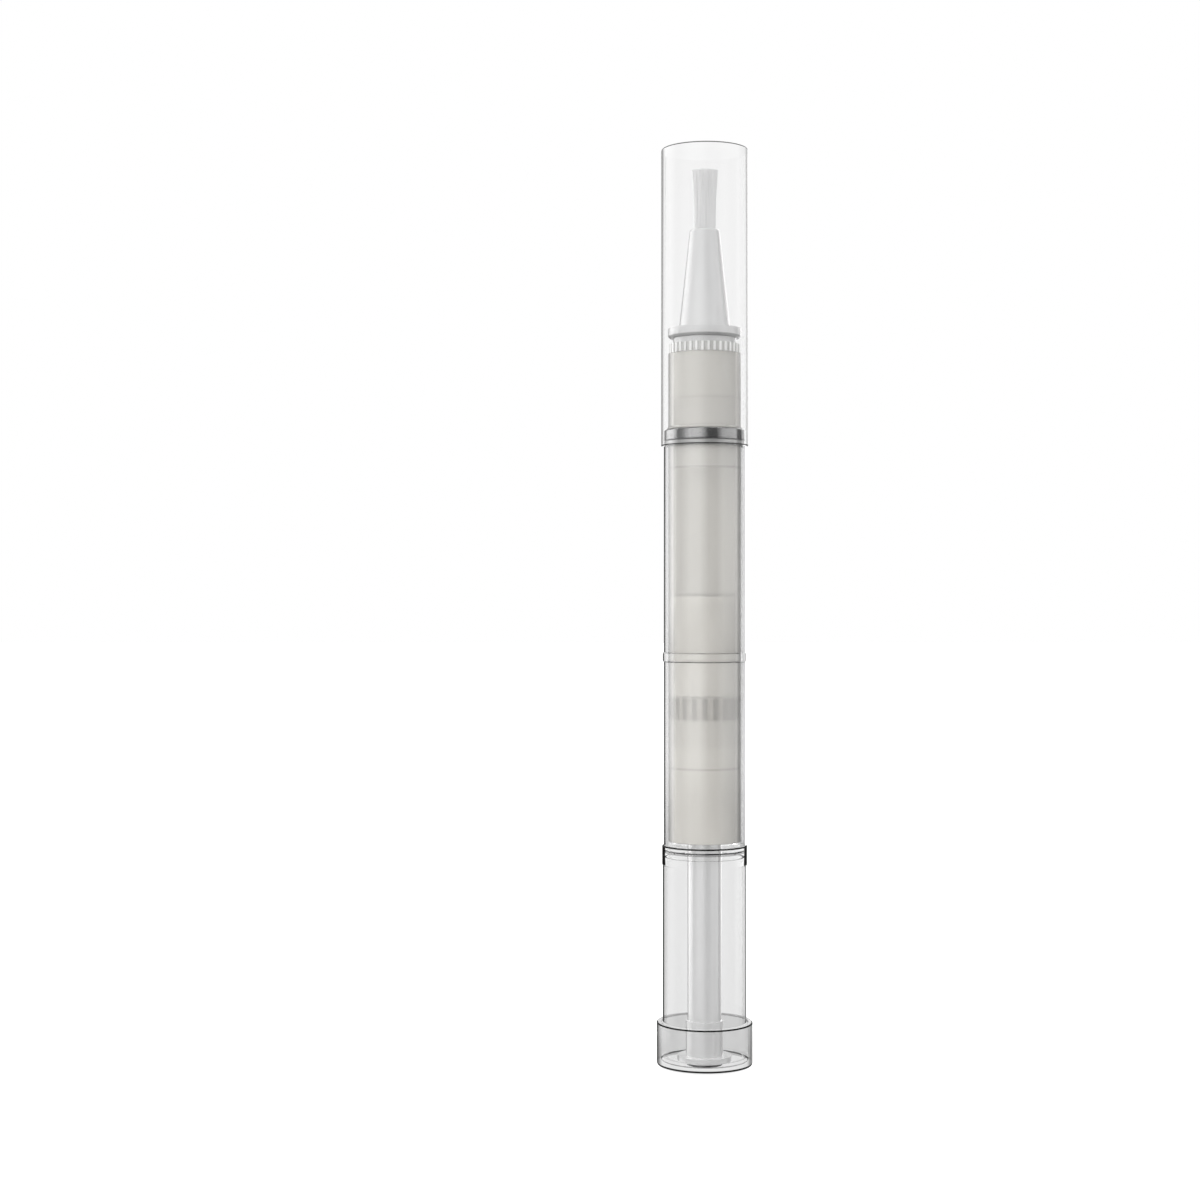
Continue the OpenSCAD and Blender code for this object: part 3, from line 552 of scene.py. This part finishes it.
# tail tube: clear housing with a thin collar and the socket that the spigot snaps into
tailShape = {"collar": 2.85, "collarProud": 0.1, "wall": 0.7, "gap": 0.02, "mouth": 0.2, "mouthDip": 0.06,
             "rounding": 0.2}
socketR = spigotR + tailShape["gap"]
tubeR = tailR - tailShape["collarProud"]
knobR, knobLow, knobHigh = span("knob")
collarLow = tailHigh - tailShape["collar"]
tailOutline = [
    (tubeR - tailShape["wall"], tailLow), (tubeR, tailLow), (tubeR, knobHigh),
    (tubeR, collarLow - tailShape["collarProud"]), (tailR, collarLow), (tailR, tailHigh - tailShape["mouth"]),
    (tailR - tailShape["mouthDip"], tailHigh - tailShape["mouthDip"]),
    (tailR - tailShape["mouth"], tailHigh), (socketR, tailHigh),
    (socketR, snapZ + rearShape["snapHeight"] / 2), (socketR + rearShape["snap"], snapZ),
    (socketR, snapZ - rearShape["snapHeight"] / 2), (socketR, rearLow), (tubeR - tailShape["wall"], rearLow)]
tailTube = glazed(turned("tailTubeShell", tailOutline, tailShape["rounding"]), clearTail, darkEdge, clearTail)
refinished(tailTube, "wall", tailLow - 1, knobHigh, clearBore)
refinished(tailTube, "wall", collarLow, tailHigh, clearCollar)
dress(tailTube, "barrel", "clear_tail", "tail_tube")

# knob: clear cup with a hole in its floor for the drive tube's peg
knobShape = {"wall": 0.75, "floor": 0.9, "pegHole": 2.62, "foot": 0.45, "rounding": 0.25}
knobOutline = [
    (knobShape["pegHole"], knobLow), (knobR - knobShape["foot"], knobLow), (knobR, knobLow + knobShape["foot"]),
    (knobR, knobHigh), (knobR - knobShape["wall"], knobHigh), (knobR - knobShape["wall"], knobShape["floor"]),
    (knobShape["pegHole"], knobShape["floor"])]
knob = glazed(turned("knobCup", knobOutline, knobShape["rounding"]), clearKnob, knobEdge, knobEdge, softEdge,
              clearEnd)
refinished(knob, "lowerOuter", -1, knobShape["foot"] * 0.75, clearEnd)  # the painted dark line of shade stays above the chamfer
refinished(knob, "upperInner", -1, knobShape["floor"] * 2, floorEdge)  # and the floor's corners get painted dark lines of shade
dress(knob, "knob", "clear_tail", "knob")
print("clear shells modelled")

# reservoir: milky tube with a snap bead above the sleeves
reservoirShape = {"wall": 0.6, "outer": 5.25, "beadHeight": 0.4, "rounding": 0.05}
beadR, reservoirLow, reservoirHigh = span("reservoir")
bore = reservoirShape["outer"] - reservoirShape["wall"]
reservoirOutline = [
    (bore, reservoirLow), (reservoirShape["outer"], reservoirLow), (reservoirShape["outer"], sleeveHigh),
    (beadR, sleeveHigh + reservoirShape["beadHeight"] / 4), (beadR, sleeveHigh + reservoirShape["beadHeight"] / 2),
    (reservoirShape["outer"], sleeveHigh + reservoirShape["beadHeight"]), (reservoirShape["outer"], reservoirHigh),
    (bore, reservoirHigh)]
reservoir = finished(turned("reservoirTube", reservoirOutline, reservoirShape["rounding"]), milkyTube)
reservoir.data.materials.append(shadedMilkyBore)
for face in reservoir.data.polygons:
    if not facesOut(face) and abs(face.normal.z) < glazing["upright"]:
        face.material_index = 1
dress(reservoir, "barrel", "milky_reservoir", "reservoir")

# applicator: plug, throat, flange and cone in one, hollow all the way up
applicatorShape = {"plug": 3.85, "plugBore": 3.05, "throat": 4.55, "coneFoot": 3.7, "coneTip": 2.15, "tipBore": 1.7,
                   "tipDip": 0.15, "tipInset": 0.12, "seat": 1.82, "flange": 1.45, "flangeChamfer": 0.3,
                   "coneHeight": 14.45, "seam": 0.9, "rounding": 0.1}
flangeR, plugEnd, tip = span("applicator")
coneFoot = tip - applicatorShape["coneHeight"]
flangeZ = coneFoot - applicatorShape["flange"]
seamZ = flangeZ - applicatorShape["seam"]
ferruleLow, ferruleHigh = span("tuft_ferrule")[1:]
applicatorOutline = [
    (applicatorShape["plugBore"], plugEnd), (applicatorShape["plug"], plugEnd), (applicatorShape["plug"], seamZ),
    (applicatorShape["throat"], seamZ), (applicatorShape["throat"], flangeZ),
    (flangeR - applicatorShape["flangeChamfer"], flangeZ), (flangeR, flangeZ + applicatorShape["flangeChamfer"]),
    (flangeR, coneFoot),
    (applicatorShape["coneFoot"], coneFoot), (applicatorShape["coneTip"], tip - applicatorShape["tipDip"]),
    (applicatorShape["coneTip"] - applicatorShape["tipInset"], tip), (applicatorShape["tipBore"], tip),
    (applicatorShape["tipBore"], ferruleHigh), (applicatorShape["seat"], ferruleHigh),
    (applicatorShape["seat"], ferruleLow), (applicatorShape["plugBore"], flangeZ)]
applicator = finished(turned("applicatorCone", applicatorOutline, applicatorShape["rounding"]), frostedWhite)
dress(applicator, "barrel", "frosted_applicator", "applicator")
print("applicator modelled")


# bristles: nylon strands that leave the cone as a round bundle and fan out to a straight-cut tip
bristleShape = {"strands": 620, "rootR": 1.55, "hole": 0.44, "thickness": 0.05, "fan": (1.2, 0.76), "sway": 0.03,
                "trim": 0.08, "bend": 0.25, "slice": 1.0, "sunk": 0.2, "taper": 0.3,
                "spread": [0.06, 0.36, 0.66, 1]}  # how far a strand has fanned out, from the bend to the tip
tuftLow, tuftHigh = span("bristle_tuft")[1:]
random.seed(11)
strandCurve = bpy.data.curves.new("bristles", "CURVE")
strandCurve.dimensions = "3D"
strandCurve.bevel_depth = bristleShape["thickness"] * mm
strandCurve.bevel_resolution = 1
strandCurve.use_fill_caps = True
goldenAngle = pi * (3 - sqrt(5))
slab = tuftLow + bristleShape["slice"]
for i in range(bristleShape["strands"]):
    share = (i + 0.5) / bristleShape["strands"]
    r = sqrt(bristleShape["hole"] ** 2 + share * (bristleShape["rootR"] ** 2 - bristleShape["hole"] ** 2))
    a = i * goldenAngle
    x, y = r * cos(a), r * sin(a)
    dx, dy = random.gauss(0, bristleShape["sway"]), random.gauss(0, bristleShape["sway"])
    top = tuftHigh - random.uniform(0, bristleShape["trim"])
    bend = tip + bristleShape["bend"] * (tuftHigh - tip)
    spline = strandCurve.splines.new("POLY")
    spline.points.add(5)
    heights = [slab - bristleShape["sunk"], tip, bend, (bend + top) / 2, (bend + 3 * top) / 4, top]
    for k, (height, spread) in enumerate(zip(heights, [0, 0] + bristleShape["spread"])):
        fx = 1 + (bristleShape["fan"][0] - 1) * spread
        fy = 1 + (bristleShape["fan"][1] - 1) * spread
        spline.points[k].co = ((x * fx + dx * spread) * mm, (y * fy + dy * spread) * mm, height * mm, 1)
        spline.points[k].radius = 1 - bristleShape["taper"] * spread
bristles = bpy.data.objects.new("bristles", strandCurve)
bpy.context.scene.collection.objects.link(bristles)
bpy.ops.object.select_all(action="DESELECT")
bristles.select_set(True)
bpy.context.view_layer.objects.active = bristles
bpy.ops.object.convert(target="MESH")
bristles = bpy.context.object
slabRing = turned("rootSlice", [(bristleShape["hole"], tuftLow), (bristleShape["rootR"], tuftLow),
                                (bristleShape["rootR"], slab), (bristleShape["hole"], slab)], rounding=0, steps=48)
bpy.ops.object.select_all(action="DESELECT")
slabRing.select_set(True)
bristles.select_set(True)
bpy.context.view_layer.objects.active = bristles
bpy.ops.object.join()
finished(bristles, bristleNylon, sharp=50)
dress(bristles, "barrel", "bristle_white", "bristle_tuft")
print("bristles modelled")

# the inner pieces keep their shapes and get their plastics
for node, material in {"tuft_ferrule": driveWhite, "feed_tube": driveWhite, "neck_bush": ribbedWhite,
                       "drive_tube": driveWhite, "click_pawl": mechanismWhite, "ratchet_ring": mechanismWhite,
                       "bearing_bush": mechanismWhite, "thread_nut": nutBeige, "spindle": mechanismWhite,
                       "piston": pistonWhite}.items():
    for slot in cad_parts[node].material_slots:
        slot.material = material
print("inner pieces finished")

# the studio: a white floor, a tall softbox in front on the left, and a bright room all round
scene = bpy.context.scene
scene.cycles.max_bounces = 24
scene.cycles.transmission_bounces = 24
scene.cycles.glossy_bounces = 24
scene.cycles.transparent_max_bounces = 32

floorSetup = {"size": 6.0, "colour": (0.8, 0.8, 0.8), "glow": 0.72}
bpy.ops.object.select_all(action="DESELECT")
bpy.ops.mesh.primitive_plane_add(size=floorSetup["size"], location=(0, 0, 0))
floor = bpy.context.object
floor.name = "floor"
floorMaterial, tree, principled, coords = newMaterial(
    "floorPaint", {"Base Color": (*floorSetup["colour"], 1), "Roughness": 0.9, "Specular IOR Level": 0.0})
glow = addNode(tree, "ShaderNodeEmission", (0, -300), {"Strength": floorSetup["glow"]})  # for the camera alone
path = addNode(tree, "ShaderNodeLightPath", (-200, 300))
dimmed = addNode(tree, "ShaderNodeMixShader", (200, -200))
black = addNode(tree, "ShaderNodeEmission", (0, -450), {"Strength": 0.0})
total = addNode(tree, "ShaderNodeAddShader", (400, 0))
linked(tree, [
    (path.outputs["Is Camera Ray"], dimmed.inputs[0]), (black.outputs[0], dimmed.inputs[1]),
    (glow.outputs[0], dimmed.inputs[2]), (principled.outputs[0], total.inputs[0]),
    (dimmed.outputs[0], total.inputs[1]), (total.outputs[0], tree.nodes["Material Output"].inputs["Surface"]),
])
floor.data.materials.append(floorMaterial)
floor.visible_glossy = False
floor.visible_transmission = False

# the softbox on the left lights the pen; the gloss shows the room below, which has that box and more in it. turn is
# where its middle stands round the pen in degrees (0 is the camera's side, + is right), width is in degrees as the
# pen sees it, and brightness 1 is white
softbox = {"turn": -27, "width": 54, "distance": 0.7, "height": 0.62, "middle": 0.07, "brightness": 4.0}
light = bpy.data.lights.new("leftBox", "AREA")
light.shape = "RECTANGLE"
light.size = 2 * softbox["distance"] * tan(radians(softbox["width"] / 2))
light.size_y = softbox["height"]
light.energy = softbox["brightness"] * pi * light.size * light.size_y
lamp = bpy.data.objects.new("leftBox", light)
turn = radians(softbox["turn"])
place = Vector((sin(turn) * softbox["distance"], -cos(turn) * softbox["distance"], softbox["middle"]))
lamp.location = place
lamp.rotation_euler = (Vector((0, 0, softbox["middle"])) - place).to_track_quat("-Z", "Y").to_euler()
lamp.visible_camera = lamp.visible_glossy = lamp.visible_transmission = False
scene.collection.objects.link(lamp)

# the room round the pen: how bright it is towards each side, in degrees from the camera's side, + to the right; one
# list for what shines in gloss, one for what shows through clear plastic, and one for plain light
roomSetup = {
    "mirrored": [(-180, 0.15), (-157, 0.15), (-148, 1.2), (-142, 2.4), (-128, 3.6), (-106, 3.6), (-96, 2.4),
                 (-88, 0.7), (-74, 0.7), (-46, 2.9), (-18, 2.8), (8, 0.2), (32, 0.2), (52, 2.0), (100, 2.2),
                 (108, 0.2), (126, 0.2), (136, 1.5), (151, 1.35), (158, 2.5), (168, 2.2), (176, 0.9), (180, 0.9)],
    "through": [(-180, 1.0), (180, 1.0)],
    "plain": [(-180, 0.95), (-150, 0.8), (-125, 0.8), (-60, 0.8), (-50, 0.4), (0, 0.3), (42, 0.42), (55, 0.85),
              (130, 0.85), (150, 0.8), (180, 0.95)],
}
# how it changes with height, which is -1 straight down, 0 level and 1 straight up: the mirrored room is dimmer below,
# and a white floor further down, and the plain light is brighter from overhead
roomHeights = {"below": (-0.21, -0.09), "floor": (-0.27, -0.42), "overhead": (0.4, 0.8)}
roomShares = {"below": 0.45, "overhead": 1.5}
world = bpy.data.worlds.new("studioRoom")
scene.world = world
world.use_nodes = True
tree = world.node_tree
tree.nodes.clear()
coords = addNode(tree, "ShaderNodeTexCoord", (-1200, 0))
split = addNode(tree, "ShaderNodeSeparateXYZ", (-1000, 0))
ahead = addNode(tree, "ShaderNodeMath", (-800, -100), {1: -1.0}, operation="MULTIPLY")
around = addNode(tree, "ShaderNodeMath", (-600, 0), operation="ARCTAN2")
turnShare = addNode(tree, "ShaderNodeMapRange", (-400, 0), {"From Min": -pi, "From Max": pi})
linked(tree, [
    (coords.outputs["Generated"], split.inputs[0]), (split.outputs["Y"], ahead.inputs[0]),
    (split.outputs["X"], around.inputs[0]), (ahead.outputs[0], around.inputs[1]),
    (around.outputs[0], turnShare.inputs["Value"]),
])
room = {}
brightest = max(level for stops in roomSetup.values() for degrees, level in stops)
for kind, stops in roomSetup.items():
    ramp = newRamp(tree, (-200, 0), [((degrees + 180) / 360, level / brightest) for degrees, level in stops])
    room[kind] = addNode(tree, "ShaderNodeBackground", (100, 0), {"Strength": brightest})
    tree.links.new(turnShare.outputs[0], ramp.inputs[0])
    tree.links.new(ramp.outputs[0], room[kind].inputs["Color"])
lower = addNode(tree, "ShaderNodeMapRange", (-200, -500), {
    "From Min": roomHeights["below"][0], "From Max": roomHeights["below"][1],
    "To Min": roomShares["below"] * brightest, "To Max": brightest})
overhead = addNode(tree, "ShaderNodeMapRange", (-200, -700), {
    "From Min": roomHeights["overhead"][0], "From Max": roomHeights["overhead"][1],
    "To Min": brightest, "To Max": roomShares["overhead"] * brightest})
roomFloor = addNode(tree, "ShaderNodeBackground", (100, -700), {"Color": (1, 1, 1, 1), "Strength": 1.0})
downward = addNode(tree, "ShaderNodeMapRange", (-200, -900), {
    "From Min": roomHeights["floor"][0], "From Max": roomHeights["floor"][1]})
mirroredRoom = addNode(tree, "ShaderNodeMixShader", (300, -600))
linked(tree, [
    (split.outputs["Z"], lower.inputs["Value"]), (lower.outputs[0], room["mirrored"].inputs["Strength"]),
    (split.outputs["Z"], overhead.inputs["Value"]), (overhead.outputs[0], room["plain"].inputs["Strength"]),
    (split.outputs["Z"], downward.inputs["Value"]), (downward.outputs[0], mirroredRoom.inputs[0]),
    (room["mirrored"].outputs[0], mirroredRoom.inputs[1]), (roomFloor.outputs[0], mirroredRoom.inputs[2]),
])
path = addNode(tree, "ShaderNodeLightPath", (-200, 400))
mirroredOnce = addNode(tree, "ShaderNodeMath", (100, -500), {1: 1.0}, operation="MINIMUM")  # once or more often
scatteredOnce = addNode(tree, "ShaderNodeMath", (300, -500), {1: 1.0}, operation="MINIMUM")
seen = addNode(tree, "ShaderNodeBackground", (100, 200), {"Color": (1, 1, 1, 1), "Strength": 1.0})  # by the camera
mixThrough = addNode(tree, "ShaderNodeMixShader", (300, -300))
mixGlossy = addNode(tree, "ShaderNodeMixShader", (500, -200))
mixPlain = addNode(tree, "ShaderNodeMixShader", (700, -100))
mixSeen = addNode(tree, "ShaderNodeMixShader", (900, 100))
worldOut = addNode(tree, "ShaderNodeOutputWorld", (1100, 100))
linked(tree, [
    (path.outputs["Glossy Depth"], mirroredOnce.inputs[0]), (path.outputs["Diffuse Depth"], scatteredOnce.inputs[0]),
    (path.outputs["Is Transmission Ray"], mixThrough.inputs[0]), (room["plain"].outputs[0], mixThrough.inputs[1]),
    (room["through"].outputs[0], mixThrough.inputs[2]),
    (mirroredOnce.outputs[0], mixGlossy.inputs[0]), (mixThrough.outputs[0], mixGlossy.inputs[1]),
    (mirroredRoom.outputs[0], mixGlossy.inputs[2]),
    (scatteredOnce.outputs[0], mixPlain.inputs[0]), (mixGlossy.outputs[0], mixPlain.inputs[1]),
    (room["plain"].outputs[0], mixPlain.inputs[2]),
    (path.outputs["Is Camera Ray"], mixSeen.inputs[0]), (mixPlain.outputs[0], mixSeen.inputs[1]),
    (seen.outputs[0], mixSeen.inputs[2]), (mixSeen.outputs[0], worldOut.inputs["Surface"]),
])
print("studio lit")
